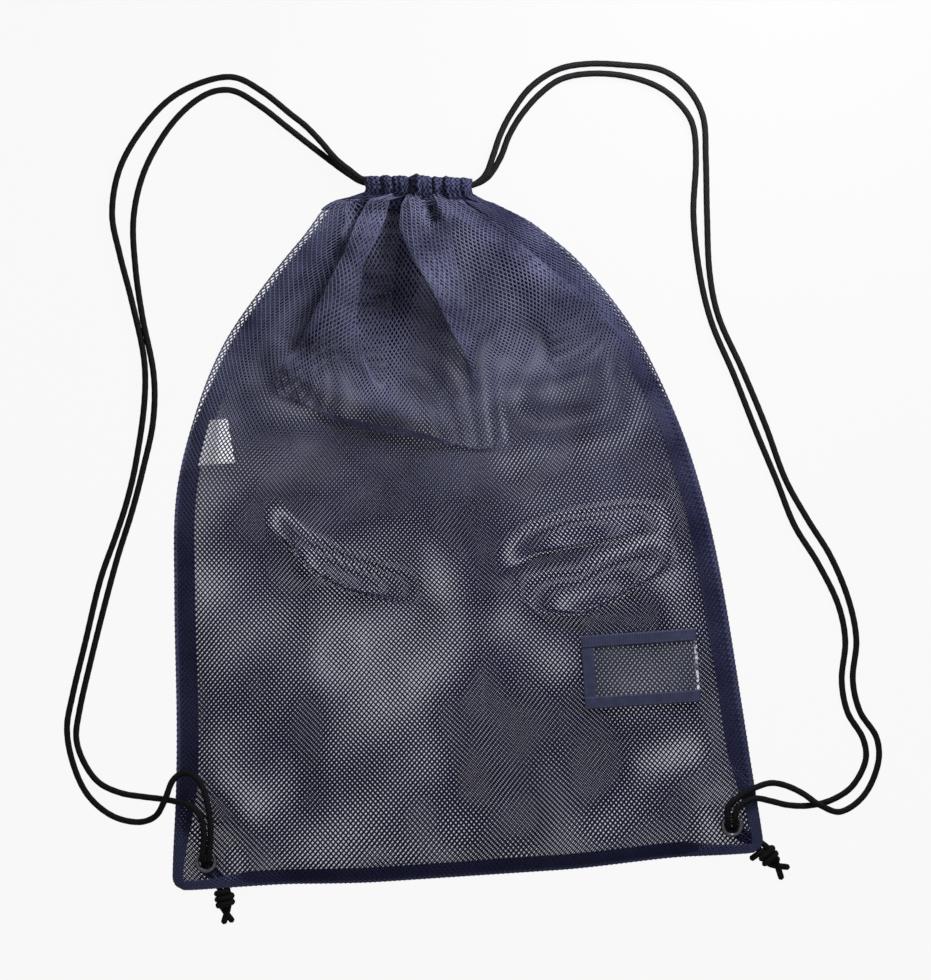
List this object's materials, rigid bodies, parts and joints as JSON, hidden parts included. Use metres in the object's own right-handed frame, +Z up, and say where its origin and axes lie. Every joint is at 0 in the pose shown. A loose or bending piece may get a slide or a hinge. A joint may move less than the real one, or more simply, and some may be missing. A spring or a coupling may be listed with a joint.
{
  "type": "mesh equipment bag",
  "caption": "Flat navy mesh drawstring bag with a gathered neck, black carrying cords through corner eyelets and a card window, empty and lying on its back.",
  "frame": {"origin": "on the floor under the middle of the bag without its cords", "axes": "+X across the bag towards the card window, +Y from the bottom hem to the drawn neck, +Z up from the floor"},
  "size_m": [0.6587, 0.6873, 0.0295],
  "materials": {
    "navy_mesh": "knitted polyester net with open diamond holes",
    "navy_seam": "doubled net, turned in and stitched",
    "navy_tape": "woven tape",
    "black_eyelet": "black enamel",
    "black_cord": "round braided cord",
    "clear_pane": "clear flexible sheet",
    "white_label": "blank woven label"
  },
  "bodies": {
    "root": {"front_panel": "navy_mesh", "back_panel": "navy_mesh", "side_seam_left": "navy_seam", "side_seam_right": "navy_seam", "bottom_seam": "navy_seam", "eyelet_left": "black_eyelet", "eyelet_right": "black_eyelet", "left_cord_outer": "black_cord", "left_cord_inner": "black_cord", "right_cord_outer": "black_cord", "right_cord_inner": "black_cord", "knot_left": "black_cord", "knot_right": "black_cord", "window_pane": "clear_pane", "window_tape_top": "navy_tape", "window_tape_bottom": "navy_tape", "window_tape_side": "navy_tape", "care_label": "white_label"}
  },
  "joints": []
}
